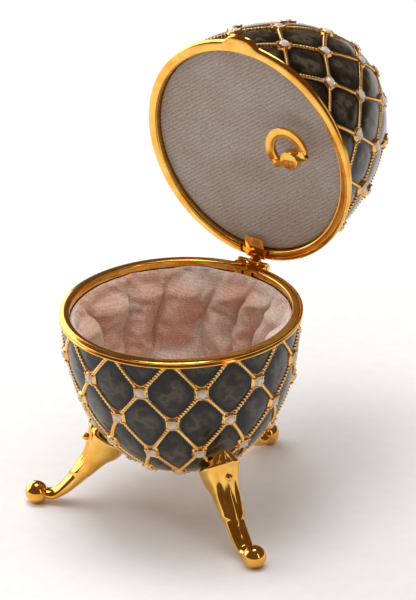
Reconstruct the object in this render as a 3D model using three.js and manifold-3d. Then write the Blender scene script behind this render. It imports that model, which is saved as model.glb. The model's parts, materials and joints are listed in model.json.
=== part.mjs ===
// Egg-shaped trinket box on three curved legs, shown with its hinged lid standing open.
// Millimetres. +Z is up, the front faces -Y, the hinge is toward +Y, and the feet stand on z = 0.

import * as THREE from "three";
import { mergeVertices } from "three/addons/utils/BufferGeometryUtils.js";
import Module from "manifold-3d";

const wasm = await Module();
wasm.setup();

const degrees = THREE.MathUtils.degToRad;

// Driving sizes
const rimRadius = 35; // outer radius of both collars
const rimHeight = 63.2; // height of the bowl's flat mouth above the ground
const mouthRadius = 32; // inner radius of both collars
const collarHeight = 2.2;
const shellRadius = 33.9; // widest radius of the enamel, between the ropes
const wall = 1.8;
const seam = 0.2; // clearance between pieces that touch
const clearance = 0.3; // clearance between pieces that move

// Lattice of ropes, with a stone setting at each crossing
const columns = 12;
const ropeHeight = 0.6;
const ropeHalfWidth = 0.85;
const settingHeight = 1.25;
const settingRadius = 2.1;
const pillowHeight = 0.35; // how far the enamel swells between the ropes
const capRadius = 8.6;
const capHeight = 0.9;

// Each half of the egg: full depth, bluntness, and how deep each row of crossings lies
const bowlHalf = { depth: 48.4, bluntness: 2.2, rows: [0, 10.8, 21.1, 33, 43.2, 47.4] };
const lidHalf = { depth: 53.4, bluntness: 1.88, rows: [0, 10.2, 20, 34, 44.6, 51.6] };

// Lid and hinge
const lidOpening = 85; // degrees
const hingeOffset = 1.5; // hinge axis outside the collars
const hingeDrop = 1; // hinge axis below the bowl's mouth
const knuckleRadius = 1.4;
const pinRadius = 0.65;
const hingeWidth = 10;
const lidKnuckleWidth = 3.4;
const leafThickness = 0.5;
const lidLeafWidth = 6.4;
const lidLeafReach = 8.2; // how far the lid's leaf runs in from the hinge axis
const tongueWidth = 2.5;
const tongueSpacing = 3.3;
const tongueDrop = 2.6;
const thumbWidth = 13;
const thumbReach = 2.1;

// Velvet
const panelRadius = 31.3;
const panelRecess = 1.6;
const panelThickness = 1.6;
const liningTop = 2.9;
const liningRadius = 31;
const liningThickness = 1.4;
const liningFloor = 41;
const pleats = 10;
const pleatDepth = 2.6;

// Winding key
const keyPlace = new THREE.Vector2(18, -4); // on the lid, from its centre
const keyTurn = -24; // degrees the fold line is turned from +X
const keyHeadRadius = 2.9;
const keyHeadDepth = 3;
const keyReach = 5; // head's face in front of the lid's mouth
const keyStemRadius = 1.5;
const ringOuter = 7.1;
const ringInner = 4.2;
const ringThickness = 1.2;
const ringOffset = 2.9; // ring's centre from the fold line
const ringTail = 1.2; // how far the ring runs past the fold line
const pivotDepth = 3.5;

// Legs
const legAngles = { leg_back: 91.5, leg_front_left: 211.5, leg_front_right: 331.5 };
const footReach = 43.8;
const footRadius = 3.4;
const footFlat = 0.2;

function gilt(roughness) {
  return new THREE.MeshStandardMaterial({ color: 0xd9a63f, roughness, metalness: 1 });
}

function matter(color, roughness) {
  return new THREE.MeshStandardMaterial({ color, roughness, metalness: 0 });
}

// Closed triangles in, manifold solid out
function toSolid(geometry) {
  const bare = geometry.clone();
  for (const name of Object.keys(bare.attributes)) {
    if (name !== "position") bare.deleteAttribute(name);
  }
  const merged = mergeVertices(bare, 1e-4);
  const index = merged.index.array;
  const kept = [];
  for (let i = 0; i < index.length; i += 3) {
    const [a, b, c] = index.slice(i, i + 3);
    if (a !== b && b !== c && c !== a) kept.push(a, b, c);
  }
  const vertProperties = new Float32Array(merged.attributes.position.array);
  const triVerts = new Uint32Array(kept);
  return new wasm.Manifold(new wasm.Mesh({ numProp: 3, vertProperties, triVerts }));
}

function toGeometry(solid) {
  const mesh = solid.getMesh();
  const geometry = new THREE.BufferGeometry();
  geometry.setAttribute("position", new THREE.BufferAttribute(mesh.vertProperties.slice(), 3));
  geometry.setIndex(new THREE.BufferAttribute(mesh.triVerts.slice(), 1));
  return geometry;
}

function fromTriangles(points) {
  const geometry = new THREE.BufferGeometry().setFromPoints(points);
  return mergeVertices(geometry, 1e-4);
}

// Turned about Z from [radius, height] pairs that run up the outside
function turned(outline, segments) {
  const points = outline.map(([radius, height]) => new THREE.Vector2(radius, height));
  return new THREE.LatheGeometry(points, segments).rotateX(Math.PI / 2);
}

// Turned about X, centred on the hinge line
function rod(radius, length, segments = 12) {
  return new THREE.CylinderGeometry(radius, radius, length, segments).rotateZ(Math.PI / 2);
}

function block(lowX, highX, lowY, highY, lowZ, highZ) {
  const box = new THREE.BoxGeometry(highX - lowX, highY - lowY, highZ - lowZ);
  return box.translate((lowX + highX) / 2, (lowY + highY) / 2, (lowZ + highZ) / 2);
}

// Rings of matching points, skinned and closed at both ends
function skinned(rings) {
  const points = [];
  const count = rings[0].length;
  for (let i = 0; i + 1 < rings.length; i += 1) {
    for (let j = 0; j < count; j += 1) {
      const k = (j + 1) % count;
      points.push(rings[i][j], rings[i][k], rings[i + 1][k]);
      points.push(rings[i][j], rings[i + 1][k], rings[i + 1][j]);
    }
  }
  const last = rings[rings.length - 1];
  for (let j = 1; j + 1 < count; j += 1) {
    points.push(rings[0][0], rings[0][j + 1], rings[0][j]);
    points.push(last[0], last[j], last[j + 1]);
  }
  return fromTriangles(points);
}

// ---- The two halves of the egg, each built mouth up with its mouth at z = 0 ----

function eggRadius(half, depth, inset = 0) {
  const share = THREE.MathUtils.clamp(depth / (half.depth - inset), 0, 1);
  return (shellRadius - inset) * (1 - share ** half.bluntness) ** (1 / half.bluntness);
}

function rowDepth(half, row) {
  if (row < 0) return row * half.rows[1];
  const low = Math.min(Math.floor(row), half.rows.length - 2);
  return THREE.MathUtils.lerp(half.rows[low], half.rows[low + 1], row - low);
}

// A point of the egg's skin, raised by height along the skin's normal
function eggPoint(half, angle, row, height = 0) {
  const depth = rowDepth(half, row);
  const step = 0.01;
  const slope = (eggRadius(half, depth + step) - eggRadius(half, depth - step)) / (2 * step);
  const across = 1 / Math.hypot(1, slope);
  const radius = eggRadius(half, depth) + height * across;
  const down = depth - height * across * slope;
  return new THREE.Vector3(radius * Math.cos(angle), radius * Math.sin(angle), -down);
}

// One diamond between four crossings. Its sides run top, left, bottom, right, seen from outside.
function diamond(half, middleAngle, middleRow) {
  const reach = Math.PI / columns;
  const place = (a, b, height) =>
    eggPoint(half, middleAngle + reach * (a - b), middleRow - 1 + a + b, height);
  const along = (side, t, inset, height) =>
    [
      () => place(inset, t, height),
      () => place(t, 1 - inset, height),
      () => place(1 - inset, 1 - t, height),
      () => place(1 - t, inset, height),
    ][side]();
  const sides = [];
  for (let side = 0; side < 4; side += 1) {
    const length = along(side, 0, 0, 0).distanceTo(along(side, 1, 0, 0));
    const t = settingRadius / length;
    const inset = ropeHalfWidth / length;
    const cornerRow = middleRow + [-1, 0, 1, 0][side];
    const cornerHeight = cornerRow < half.rows.length - 2 ? settingHeight : ropeHeight;
    sides.push({
      corner: along(side, 0, 0, cornerHeight),
      crest: [t, 0.5, 1 - t].map((at) => along(side, at, 0, ropeHeight)),
      foot: [t, 1 - t].map((at) => along(side, at, inset, 0)),
    });
  }
  return { sides, middle: place(0.5, 0.5, pillowHeight) };
}

function diamondTriangles({ sides, middle }) {
  const points = [];
  sides.forEach((side, i) => {
    const next = sides[(i + 1) % 4];
    const before = sides[(i + 3) % 4];
    const { corner, crest, foot } = side;
    points.push(corner, crest[0], foot[0]);
    points.push(corner, foot[0], before.foot[1]);
    points.push(corner, before.foot[1], before.crest[2]);
    points.push(crest[0], crest[1], foot[0]);
    points.push(crest[1], foot[1], foot[0]);
    points.push(crest[1], crest[2], foot[1]);
    points.push(foot[0], foot[1], middle);
    points.push(foot[1], next.foot[0], middle);
  });
  return points;
}

function latticeSkin(half) {
  const lastRow = half.rows.length - 1;
  const apex = new THREE.Vector3(0, 0, half.rows[1]);
  const pole = new THREE.Vector3(0, 0, -half.depth);
  const points = [];
  for (let row = 0; row < lastRow; row += 1) {
    for (let column = 0; column < columns; column += 1) {
      const angle = (2 * Math.PI * (column + (row % 2 ? 0 : 0.5))) / columns;
      const cell = diamond(half, angle, row);
      const edge = cell.sides.flatMap(({ corner, crest }) => [corner, ...crest]);
      edge.push(edge[0]);
      if (row < lastRow - 1) points.push(...diamondTriangles(cell));
      else for (let j = 0; j < 16; j += 1) points.push(edge[j], edge[j + 1], cell.middle);
      if (row === 0) {
        for (const j of [0, 1, 2, 3, 12, 13, 14, 15]) points.push(edge[j + 1], edge[j], apex);
      }
      if (row === lastRow - 1) {
        const reach = Math.PI / columns;
        const left = eggPoint(half, angle - reach, lastRow);
        const right = eggPoint(half, angle + reach, lastRow);
        for (const j of [4, 5, 6, 7]) points.push(edge[j + 1], edge[j], left);
        for (const j of [8, 9, 10, 11]) points.push(edge[j + 1], edge[j], right);
        points.push(edge[8], left, pole, right, edge[8], pole);
      }
    }
  }
  return fromTriangles(points);
}

function eggOutline(half, inset, steps) {
  const outline = [[0, inset - half.depth]];
  for (let i = 1; i <= steps; i += 1) {
    const depth = (half.depth - inset) * Math.cos((Math.PI / 2) * (i / steps));
    outline.push([eggRadius(half, depth, inset), -depth]);
  }
  return outline;
}

function halfEgg(half) {
  const skin = toSolid(latticeSkin(half));
  const hollow = eggOutline(half, wall, 6);
  hollow.push([shellRadius - wall, 30], [0, 30]);
  const mouthCut = block(-60, 60, -60, 60, -collarHeight - seam, 60);
  const base = half.depth - 2.4;
  const cap = turned(
    [
      [0, -half.depth - capHeight],
      [capRadius * 0.55, -half.depth - capHeight * 0.8],
      [capRadius * 0.9, -half.rows[5] - capHeight],
      [capRadius, -half.rows[5] - capHeight * 0.4],
      [capRadius * 0.8, -base],
      [0, -base],
    ],
    24,
  );
  return skin
    .add(toSolid(cap))
    .subtract(toSolid(turned(hollow, 24)))
    .subtract(toSolid(mouthCut));
}

// ---- Collars: flat face at z = 0, groove and bead below it ----

// Section points, with how far each follows the thumb-piece outward
const collarSection = [
  [mouthRadius, 0, 0],
  [mouthRadius, -collarHeight, 0],
  [rimRadius - 0.6, -collarHeight, 1],
  [rimRadius, -collarHeight + 0.5, 1],
  [rimRadius - 0.1, -collarHeight + 0.9, 1],
  [rimRadius - 0.75, -collarHeight + 1.1, 1],
  [rimRadius - 0.75, -0.85, 1],
  [rimRadius, -0.6, 1],
  [rimRadius, -0.3, 1],
  [rimRadius - 0.35, 0, 1],
];

function collar(swell) {
  const angles = [];
  for (let i = 0; i < 32; i += 1) angles.push(11.25 * i);
  if (swell) for (const shift of [-8, -6, -4, -2, 2, 4, 6, 8]) angles.push(270 + shift);
  angles.sort((a, b) => a - b);
  const rings = angles.map((angle) => {
    const turn = degrees(angle);
    const aside = Math.abs(rimRadius * degrees(angle - 270));
    const rise = 1 - THREE.MathUtils.smoothstep(aside, thumbWidth * 0.16, thumbWidth / 2);
    return collarSection.map(([radius, height, follow]) => {
      const out = radius + follow * swell * rise;
      return new THREE.Vector3(out * Math.cos(turn), out * Math.sin(turn), height);
    });
  });
  const points = [];
  const count = collarSection.length;
  rings.forEach((ring, i) => {
    const next = rings[(i + 1) % rings.length];
    for (let j = 0; j < count; j += 1) {
      const k = (j + 1) % count;
      points.push(ring[j], next[k], ring[k], ring[j], next[j], next[k]);
    }
  });
  return toSolid(fromTriangles(points));
}

// ---- Hinge, in the bowl's frame, with its line along X ----

const hingeY = rimRadius + hingeOffset;
const knuckleGap = 0.25;
const notchDepth = leafThickness + 0.2;

function atHinge(geometry, height) {
  return toSolid(geometry.translate(0, hingeY, height));
}

function bowlLeaf() {
  const inner = mouthRadius - 0.95;
  const plateTop = -0.1;
  const plate = block(
    -hingeWidth / 2, hingeWidth / 2, inner, hingeY, plateTop - leafThickness, plateTop,
  );
  let leaf = toSolid(plate);
  for (const side of [-1, 1]) {
    const middle = (side * tongueSpacing) / 2;
    const low = middle - tongueWidth / 2;
    const high = middle + tongueWidth / 2;
    const drop = plateTop - tongueDrop;
    leaf = leaf.add(toSolid(block(low, high, inner, inner + leafThickness, drop, plateTop - 0.1)));
  }
  leaf = leaf.add(atHinge(rod(knuckleRadius, hingeWidth), -hingeDrop));
  const gap = lidKnuckleWidth / 2 + knuckleGap;
  const reach = rimRadius + 0.05;
  return leaf
    .subtract(toSolid(block(-gap, gap, reach, hingeY + 3, -4, 2)))
    .subtract(atHinge(rod(pinRadius + 0.15, hingeWidth + 2), -hingeDrop));
}

// In the closed lid's frame, whose mouth is at z = 0 and whose dome rises above it
const lidHingeDrop = hingeDrop + clearance;

function lidLeaf() {
  const bottom = 0.1;
  const inner = hingeY - lidLeafReach;
  const top = bottom + leafThickness;
  const plate = toSolid(block(-lidLeafWidth / 2, lidLeafWidth / 2, inner, rimRadius, bottom, top));
  const half = lidKnuckleWidth / 2;
  const strap = toSolid(block(-half, half, rimRadius - 1, hingeY, bottom, top));
  const rear = toSolid(block(-half, half, hingeY - 1.3, hingeY, -lidHingeDrop, top));
  return plate
    .add(strap)
    .add(rear)
    .add(atHinge(rod(knuckleRadius, lidKnuckleWidth), -lidHingeDrop))
    .subtract(atHinge(rod(pinRadius + 0.15, hingeWidth), -lidHingeDrop));
}

function hingeNotch(side) {
  const half = hingeWidth / 2 + 0.15;
  const low = side < 0 ? -notchDepth : -1;
  const high = side < 0 ? 1 : notchDepth;
  return toSolid(block(-half, half, mouthRadius - 2, rimRadius + 2, low, high));
}

// ---- Velvet ----

// Outside of the lining, just clear of the bowl's wall
function liningReach(depth) {
  return Math.min(liningRadius, eggRadius(bowlHalf, depth, wall + 1));
}

function lining() {
  const segments = 3 * pleats;
  const outer = [];
  const inner = [];
  const rows = 5;
  for (let i = 0; i <= rows; i += 1) {
    const share = i / rows;
    const depth = THREE.MathUtils.lerp(liningTop, liningFloor + liningThickness, share);
    outer.push([liningReach(depth), depth, 0]);
    const inside = THREE.MathUtils.lerp(liningTop, liningFloor, share);
    const fold = pleatDepth * Math.sin(Math.PI * share ** 0.8) ** 0.7;
    const thick = liningThickness + (i ? 0.6 : 0);
    const radius = liningReach(inside) - thick;
    inner.push([radius, inside, i % rows ? fold : 0]);
  }
  const ringOf = ([radius, depth, fold]) =>
    Array.from({ length: segments }, (_, j) => {
      const turn = (2 * Math.PI * j) / segments;
      const bulge = j % 3 ? 1 : 0;
      const out = radius - fold * bulge;
      return new THREE.Vector3(out * Math.cos(turn), out * Math.sin(turn), -depth);
    });
  return skinned([...outer.reverse(), ...inner].map(ringOf));
}

function panel() {
  const disc = new THREE.CylinderGeometry(panelRadius, panelRadius, panelThickness, 40);
  disc.rotateX(Math.PI / 2).translate(0, 0, panelRecess + panelThickness / 2);
  const hole = new THREE.CylinderGeometry(keyStemRadius + 0.4, keyStemRadius + 0.4, 9, 16);
  hole.rotateX(Math.PI / 2).translate(keyPlace.x, keyPlace.y, panelRecess);
  return toSolid(disc).subtract(toSolid(hole));
}

// ---- Winding key, with its axis along Z and its fold line along X, on the closed lid ----

function keyHub() {
  const top = panelRecess + panelThickness + 3;
  const neck = keyHeadDepth - keyReach;
  const head = turned(
    [
      [0, -keyReach],
      [keyHeadRadius - 0.5, -keyReach],
      [keyHeadRadius, -keyReach + 0.5],
      [keyHeadRadius, neck],
      [keyStemRadius, neck],
      [keyStemRadius, top],
      [0, top],
    ],
    16,
  );
  const pivots = rod(0.55, 2 * keyHeadRadius + 3.2, 8).translate(0, 0, -pivotDepth);
  return toSolid(head).add(toSolid(pivots));
}

function keyRing() {
  const shape = new THREE.Shape().absarc(0, 0, ringOuter, 0, 2 * Math.PI);
  shape.holes.push(new THREE.Path().absarc(0, 0, ringInner, 0, 2 * Math.PI));
  const flat = { depth: ringThickness, bevelEnabled: false, curveSegments: 10 };
  const band = new THREE.ExtrudeGeometry(shape, flat);
  band.translate(0, -ringOffset, -pivotDepth - ringThickness / 2);
  const thick = ringThickness / 2 + 0.3;
  const reach = keyHeadRadius + 3;
  const ears = block(-reach, reach, -ringTail, ringTail, -thick, thick);
  const grip = keyHeadRadius + clearance;
  return toSolid(band)
    .add(toSolid(ears.translate(0, 0, -pivotDepth)))
    .subtract(toSolid(block(-20, 20, ringTail, 20, -20, 20)))
    .subtract(toSolid(block(-grip, grip, -ringTail, 20, -20, 20)))
    .subtract(toSolid(rod(0.75, 20, 8).translate(0, 0, -pivotDepth)));
}

// ---- Legs, running out along +X from the egg's axis, with heights from the ball's centre ----

// Outer edge, inner edge and width at stations from the ball up to the tip on the bowl
const legStations = [
  [42.2, 1.3, 42, -1.5, 4.2],
  [38.7, 1.3, 38.9, -2, 5],
  [35.9, 4.1, 34.8, -0.1, 5.7],
  [33.4, 7, 32.2, 1.9, 6],
  [31.2, 9.8, 29.4, 4.3, 6.2],
  [29.2, 13, 26.2, 7.1, 6.6],
  [28, 16.4, 22.6, 10, 7.4],
  [27.4, 19.4, 19, 12, 8.8],
  [26.8, 21.8, 17.4, 15.4, 9],
  [25.9, 24, 18.4, 19.4, 6.6],
  [25, 26, 21.6, 24, 2],
];

// Three ribs with two flutes on the outer side, plain and round inside
const legSection = [
  [0.5, 0],
  [0.4, 0.38],
  [0.2, 0.3],
  [0, 0.5],
  [-0.2, 0.3],
  [-0.4, 0.38],
  [-0.5, 0],
  [-0.36, -0.38],
  [0, -0.5],
  [0.36, -0.38],
];

function leg() {
  const rings = legStations.map(([outX, outZ, inX, inZ, width]) => {
    const outer = new THREE.Vector3(outX, 0, outZ);
    const inner = new THREE.Vector3(inX, 0, inZ);
    const middle = outer.clone().add(inner).multiplyScalar(0.5);
    const depth = outer.clone().sub(inner);
    return legSection.map(([aside, out]) => {
      const point = middle.clone().addScaledVector(depth, out);
      point.y = -aside * width;
      return point;
    });
  });
  const bowlSkin = eggOutline(bowlHalf, -ropeHeight - clearance, 8);
  bowlSkin.push([0, 0]);
  const centre = footRadius - footFlat;
  const clear = toSolid(turned(bowlSkin, 24).translate(0, 0, rimHeight - centre));
  const ball = new THREE.SphereGeometry(footRadius, 12, 8).rotateX(Math.PI / 2);
  return toSolid(skinned(rings))
    .add(toSolid(ball.translate(footReach, 0, 0)))
    .subtract(clear)
    .subtract(toSolid(block(0, 60, -20, 20, -20, -centre)));
}

// ---- Assembly ----

function piece(name, solid, material) {
  const geometry = solid.isBufferGeometry ? solid : toGeometry(solid);
  const mesh = new THREE.Mesh(geometry, material);
  mesh.name = name;
  return mesh;
}

const box = new THREE.Group();

const bowl = new THREE.Group();
bowl.position.z = rimHeight;
box.add(bowl);
bowl.add(
  piece("bowl", halfEgg(bowlHalf), matter(0x55554f, 0.2)),
  piece("bowl_collar", collar(0).subtract(hingeNotch(-1)), gilt(0.18)),
  piece("bowl_lining", lining(), matter(0xbdac9e, 0.95)),
  piece("hinge_bowl_leaf", bowlLeaf(), gilt(0.25)),
);

const pin = rod(pinRadius, hingeWidth).translate(0, hingeY, -hingeDrop);
bowl.add(piece("hinge_pin", pin, gilt(0.3)));

for (const [name, angle] of Object.entries(legAngles)) {
  const foot = piece(name, leg(), gilt(0.2));
  foot.rotation.z = degrees(angle);
  foot.position.z = footRadius - footFlat;
  box.add(foot);
}

// The hinge group turns about the hinge line; inside it the lid is placed as when it is shut
const hinge = new THREE.Group();
hinge.position.set(0, hingeY, -hingeDrop);
hinge.rotation.x = -degrees(lidOpening);
bowl.add(hinge);

const lid = new THREE.Group();
lid.position.set(0, -hingeY, lidHingeDrop);
hinge.add(lid);

const dome = piece("lid_dome", halfEgg(lidHalf), matter(0x55554f, 0.2));
dome.rotation.x = Math.PI;
const lidRing = toGeometry(collar(thumbReach)).rotateY(Math.PI);
const notched = toSolid(lidRing).subtract(hingeNotch(1));
lid.add(
  dome,
  piece("lid_collar", notched, gilt(0.18)),
  piece("lid_panel", panel(), matter(0xa9a097, 0.95)),
  piece("hinge_lid_leaf", lidLeaf(), gilt(0.25)),
);

const key = new THREE.Group();
key.position.set(keyPlace.x, keyPlace.y, 0);
key.rotation.z = degrees(keyTurn);
lid.add(key);
key.add(piece("key_hub", keyHub(), gilt(0.3)), piece("key_handle", keyRing(), gilt(0.3)));

// The origin is on the ground, under the middle of the open box
const bounds = new THREE.Box3().setFromObject(box, true);
const middle = bounds.getCenter(new THREE.Vector3());
box.position.set(-middle.x, -middle.y, -bounds.min.z);

export default box;
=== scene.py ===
"""Dresses an egg-shaped trinket box: enamel, rope lattice, crystals, gilt parts and velvet."""

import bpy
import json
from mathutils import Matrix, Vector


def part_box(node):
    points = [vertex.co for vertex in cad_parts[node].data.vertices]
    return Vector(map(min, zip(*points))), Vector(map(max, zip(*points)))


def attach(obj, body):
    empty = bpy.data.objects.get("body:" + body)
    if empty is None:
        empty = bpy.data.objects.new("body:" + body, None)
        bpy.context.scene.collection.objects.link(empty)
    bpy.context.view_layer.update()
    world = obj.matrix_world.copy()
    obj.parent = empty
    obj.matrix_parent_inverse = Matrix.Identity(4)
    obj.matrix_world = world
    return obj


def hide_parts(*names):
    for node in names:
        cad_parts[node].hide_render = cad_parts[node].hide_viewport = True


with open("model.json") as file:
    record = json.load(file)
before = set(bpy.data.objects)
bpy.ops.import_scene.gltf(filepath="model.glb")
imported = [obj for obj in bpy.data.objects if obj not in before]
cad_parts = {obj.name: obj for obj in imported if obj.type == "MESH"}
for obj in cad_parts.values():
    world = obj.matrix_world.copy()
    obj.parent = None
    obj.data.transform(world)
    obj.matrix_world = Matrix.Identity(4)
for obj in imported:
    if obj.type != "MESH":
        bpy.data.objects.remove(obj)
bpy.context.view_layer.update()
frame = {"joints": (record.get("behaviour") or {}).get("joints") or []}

import json
import math

import bpy
from mathutils import Matrix, Vector, noise

bl_info = {
    "name": "Jewelled egg box",
    "version": (1, 0, 0),
    "blender": (4, 5, 0),
    "location": "View3D > Sidebar > Egg box",
    "description": "Builds the enamel, lattice, stones, gilt parts and velvet of an egg-shaped box",
    "category": "Object",
}

MM = 0.001
TURN = 2 * math.pi

# ---- Sizes shared by the pieces, in millimetres ----

RIM = 35.0  # outer radius of both collars
MOUTH = 32.0  # inner radius of both collars
COLLAR = 2.2  # height of a collar
SHELL = 33.9  # widest radius of the enamel
WALL = 1.3
COLUMNS = 12
REACH = math.pi / COLUMNS  # half the angle between neighbouring stones of a row
BOWL_HALF = {"depth": 48.4, "bluntness": 2.2, "rows": [0, 10.8, 21.1, 33, 43.2, 47.4]}
LID_HALF = {"depth": 53.4, "bluntness": 1.88, "rows": [0, 10.2, 20, 34, 44.6, 51.6]}
LID_OPENING = math.radians(85)
HINGE_OFFSET = 36.5  # hinge line from the egg's axis
HINGE_DROP = 1.0  # hinge line below the bowl's mouth
LID_HINGE_DROP = 1.3  # and below the lid's
THUMB_REACH = 2.1
THUMB_WIDTH = 13.0
KEY_PLACE = (18.0, -4.0)
KEY_TURN = math.radians(-24)
PANEL_RECESS = 1.6
FOOT_REACH = 43.8
FOOT_RADIUS = 3.4
FOOT_FLAT = 0.2
BOWL_REACH = 49.2  # depth of the surface that the legs are fitted to
CLAW_REACH = 1.98  # claws from the middle of a stone


def body_frames():
    """Where the bowl's mouth, the lid and the dome's mouth stand, each with its own Z."""
    low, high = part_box("bowl_collar")
    middle = (low + high) / 2
    joint = next(joint for joint in frame["joints"] if joint["name"] == "lid_hinge")
    hinge = Vector(joint["pos_m"])
    bowl = Matrix.Translation((middle.x, middle.y, high.z))
    opened = Matrix.Rotation(-LID_OPENING, 4, "X")
    shut = Matrix.Translation((0, middle.y - hinge.y, LID_HINGE_DROP * MM))
    lid = Matrix.Translation(hinge) @ opened @ shut
    return bowl, lid, lid @ Matrix.Rotation(math.pi, 4, "X")


BOWL, LID, DOME = body_frames()
GROUND = Matrix.Translation((BOWL.translation.x, BOWL.translation.y, 0))
KEY = LID @ Matrix.Translation((KEY_PLACE[0] * MM, KEY_PLACE[1] * MM, 0))
KEY = KEY @ Matrix.Rotation(KEY_TURN, 4, "Z")


# ---- Tools for modelling ----


def only(*chosen):
    """Leaves edit mode and selects these objects alone."""
    if bpy.context.object and bpy.context.object.mode != "OBJECT":
        bpy.ops.object.mode_set(mode="OBJECT")
    bpy.ops.object.select_all(action="DESELECT")
    for obj in chosen:
        obj.select_set(True)
    if chosen:
        bpy.context.view_layer.objects.active = chosen[0]


def start_edit(select="SELECT"):
    bpy.ops.object.mode_set(mode="EDIT")
    bpy.ops.mesh.select_mode(type="VERT")
    bpy.ops.mesh.select_all(action=select)


def clean_mesh(threshold=0.002):
    """Merges doubles of the mesh in edit mode and turns its faces outward."""
    bpy.ops.mesh.select_all(action="SELECT")
    bpy.ops.mesh.remove_doubles(threshold=threshold * MM)
    bpy.ops.mesh.normals_make_consistent(inside=False)
    bpy.ops.object.mode_set(mode="OBJECT")


def named(name):
    obj = bpy.context.object
    obj.name = name
    obj.data.name = name
    return obj


def modified(obj, kind, **settings):
    """Adds a modifier with its settings and applies it."""
    only(obj)
    modifier = obj.modifiers.new(kind.lower(), kind)
    for key, value in settings.items():
        setattr(modifier, key, value)
    bpy.ops.object.modifier_apply(modifier=modifier.name)
    return obj


def softened(obj, width, segments=2, angle=30):
    """Rounds the edges, as casting and polishing do, and shades the piece smooth."""
    modified(
        obj,
        "BEVEL",
        width=width * MM,
        segments=segments,
        limit_method="ANGLE",
        angle_limit=math.radians(angle),
    )
    return smooth(obj)


def smooth(obj, angle=40):
    only(obj)
    bpy.ops.object.shade_smooth_by_angle(angle=math.radians(angle))
    return obj


def moved(obj, matrix):
    """Moves the mesh, so the object stays at the origin."""
    obj.data.transform(matrix)
    if matrix.determinant() < 0:
        obj.data.flip_normals()
    obj.data.update()
    return obj


def copied(obj, matrix):
    twin = obj.copy()
    twin.data = obj.data.copy()
    bpy.context.scene.collection.objects.link(twin)
    return moved(twin, matrix)


def joined(name, pieces):
    only(*pieces)
    if len(pieces) > 1:
        bpy.ops.object.join()
    return named(name)


def cut(obj, tool, operation="DIFFERENCE"):
    modified(obj, "BOOLEAN", object=tool, operation=operation, solver="EXACT")
    only(tool)
    bpy.ops.object.delete()
    return obj


def removed(*objs):
    only(*objs)
    bpy.ops.object.delete()


def turned(name, outline, steps=96, closed=False):
    """A piece spun about Z from (radius, height) pairs."""
    only()
    bpy.ops.mesh.primitive_plane_add(size=MM)
    start_edit()
    bpy.ops.mesh.merge(type="CENTER")
    here = outline[0]
    bpy.ops.transform.translate(value=(here[0] * MM, 0, here[1] * MM))
    for radius, height in [*outline[1:], *outline[: int(closed)]]:
        step = ((radius - here[0]) * MM, 0, (height - here[1]) * MM)
        bpy.ops.mesh.extrude_vertices_move(TRANSFORM_OT_translate={"value": step})
        here = (radius, height)
    bpy.ops.mesh.select_all(action="SELECT")
    bpy.ops.mesh.spin(steps=steps, angle=TURN, center=(0, 0, 0), axis=(0, 0, 1))
    clean_mesh()
    return named(name)


def lofted(name, rings):
    """A closed piece over matching rings of points: a filled circle, extruded once for each ring."""
    count = len(rings[0])
    only()
    bpy.ops.mesh.primitive_circle_add(vertices=count, radius=1, fill_type="NGON")
    start_edit()
    bpy.ops.mesh.select_mode(type="FACE")
    for _ in rings[1:]:
        bpy.ops.mesh.extrude_region_move(TRANSFORM_OT_translate={"value": (0, 0, 1)})
    bpy.ops.object.mode_set(mode="OBJECT")
    obj = named(name)
    for vertex in obj.data.vertices:
        x, y, z = vertex.co
        place = round((math.atan2(y, x) - math.pi / 2) / TURN * count) % count
        vertex.co = Vector(rings[round(z)][place]) * MM
    only(obj)
    start_edit()
    clean_mesh()
    return obj


def block(name, low, high):
    """A box between two corners."""
    low, high = Vector(low) * MM, Vector(high) * MM
    only()
    bpy.ops.mesh.primitive_cube_add(size=1, location=(low + high) / 2, scale=high - low)
    bpy.ops.object.transform_apply(location=True, rotation=True, scale=True)
    return named(name)


def rod(name, radius, length, place, along="X", vertices=32):
    """A bar with its middle at a place."""
    turn = {"X": (0, math.pi / 2, 0), "Y": (math.pi / 2, 0, 0), "Z": (0, 0, 0)}[along]
    only()
    bpy.ops.mesh.primitive_cylinder_add(
        vertices=vertices,
        radius=radius * MM,
        depth=length * MM,
        location=Vector(place) * MM,
        rotation=turn,
    )
    bpy.ops.object.transform_apply(location=True, rotation=True, scale=True)
    return named(name)


def globe(name, radius, place, segments, rings):
    """A ball at a place."""
    only()
    bpy.ops.mesh.primitive_uv_sphere_add(
        segments=segments, ring_count=rings, radius=radius * MM, location=[c * MM for c in place]
    )
    bpy.ops.object.transform_apply(location=True, rotation=True, scale=True)
    return named(name)


def shared(obj, body, slot, material, *nodes):
    """Gives a finished piece its material and its body, and hides the CAD nodes that it stands for."""
    obj.data.materials.clear()
    for finish in material if isinstance(material, list) else [material]:
        obj.data.materials.append(finish)
    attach(obj, body)
    if nodes:
        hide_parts(*nodes)
    return obj


def smoothstep(low, high, value):
    share = min(1.0, max(0.0, (value - low) / (high - low)))
    return share * share * (3 - 2 * share)


# ---- The egg's shape, mouth up, with its mouth at z = 0 ----


def egg_radius(half, depth, inset=0.0):
    share = min(1.0, max(0.0, depth / (half["depth"] - inset)))
    bluntness = half["bluntness"]
    return (SHELL - inset) * (1 - share**bluntness) ** (1 / bluntness)


def row_depth(half, row):
    rows = half["rows"]
    low = min(int(row), len(rows) - 2)
    return rows[low] + (rows[low + 1] - rows[low]) * (row - low)


def depth_row(half, depth):
    rows = half["rows"]
    for low in range(len(rows) - 1):
        if depth <= rows[low + 1] or low == len(rows) - 2:
            return low + (depth - rows[low]) / (rows[low + 1] - rows[low])
    return 0.0


def egg_normal(half, angle, depth):
    step = 0.02
    slope = (egg_radius(half, depth + step) - egg_radius(half, depth - step)) / (2 * step)
    across = 1 / math.hypot(1, slope)
    return Vector((across * math.cos(angle), across * math.sin(angle), across * slope))


def egg_point(half, angle, depth, height=0.0):
    radius = egg_radius(half, depth)
    skin = Vector((radius * math.cos(angle), radius * math.sin(angle), -depth))
    return skin + height * egg_normal(half, angle, depth)


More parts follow.
